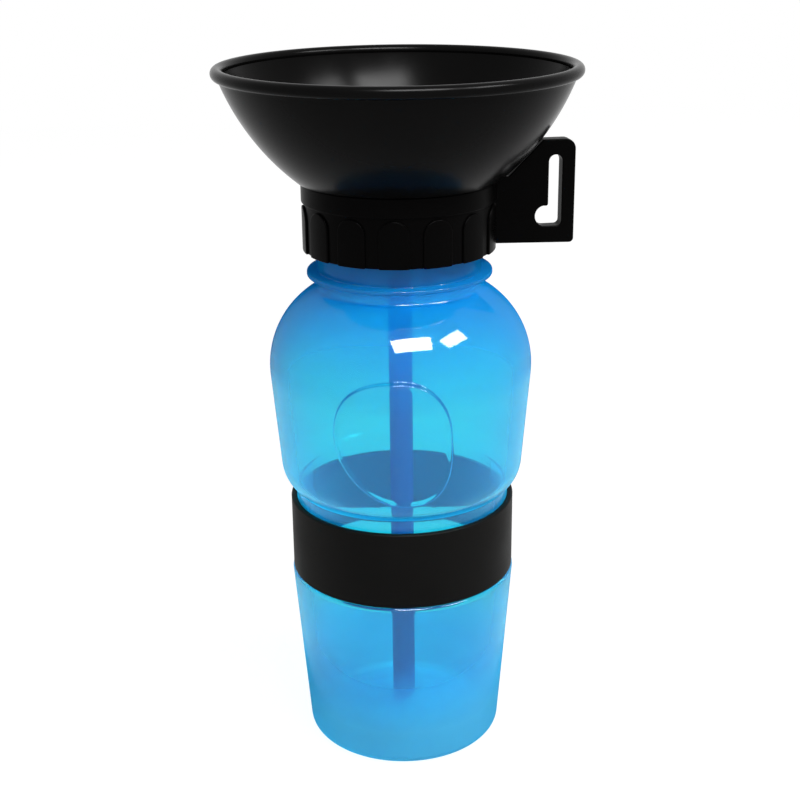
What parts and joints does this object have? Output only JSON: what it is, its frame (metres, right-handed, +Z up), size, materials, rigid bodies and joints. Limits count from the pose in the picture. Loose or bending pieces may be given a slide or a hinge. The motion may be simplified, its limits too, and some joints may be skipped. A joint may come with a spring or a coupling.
{
  "type": "dog travel water bottle",
  "caption": "Squeeze water bottle with a screw-on drinking bowl, dip tube, turning valve, rubber grip band and slotted hanger plate.",
  "frame": {"origin": "on the bottle's axis, on the plane that its foot stands on", "axes": "+Z up the bottle's axis to the bowl's rim; +X along the hanger plate"},
  "size_m": [0.1204, 0.1204, 0.2421],
  "materials": {
    "blue_translucent": "smooth, see-through",
    "band_rubber": "matte",
    "black_plastic": "polished",
    "blue_tube": "smooth, see-through",
    "seal_rubber": "satin silicone",
    "white_plastic": "satin"
  },
  "bodies": {
    "bottle": {"bottle": "blue_translucent", "grip_band": "band_rubber"},
    "seal": {"neck_seal": "seal_rubber"},
    "collar": {"screw_collar": "black_plastic", "valve_seat": "seal_rubber", "dip_tube": "blue_tube", "tube_grommet": "seal_rubber"},
    "bowl": {"bowl": "black_plastic", "outlet_guard": "black_plastic", "valve_rotor": "white_plastic", "hub_o_ring": "seal_rubber"}
  },
  "joints": [
    {"name": "thread_climb", "type": "slide", "parent": "bottle", "child": "seal", "axis": [0, 0, 1], "range_m": [0, 0.0048]},
    {"name": "collar_turn", "type": "hinge", "parent": "seal", "child": "collar", "pos_m": [0, 0, 0.19], "axis": [0, 0, 1], "range_deg": [0, 540]},
    {"name": "bowl_turn", "type": "hinge", "parent": "collar", "child": "bowl", "pos_m": [0, 0, 0.2], "axis": [0, 0, 1], "range_deg": [0, 90]}
  ],
  "couplings": [
    {"joint": "thread_climb", "follows": "collar_turn", "m_per_rad": 0.00050532}
  ]
}
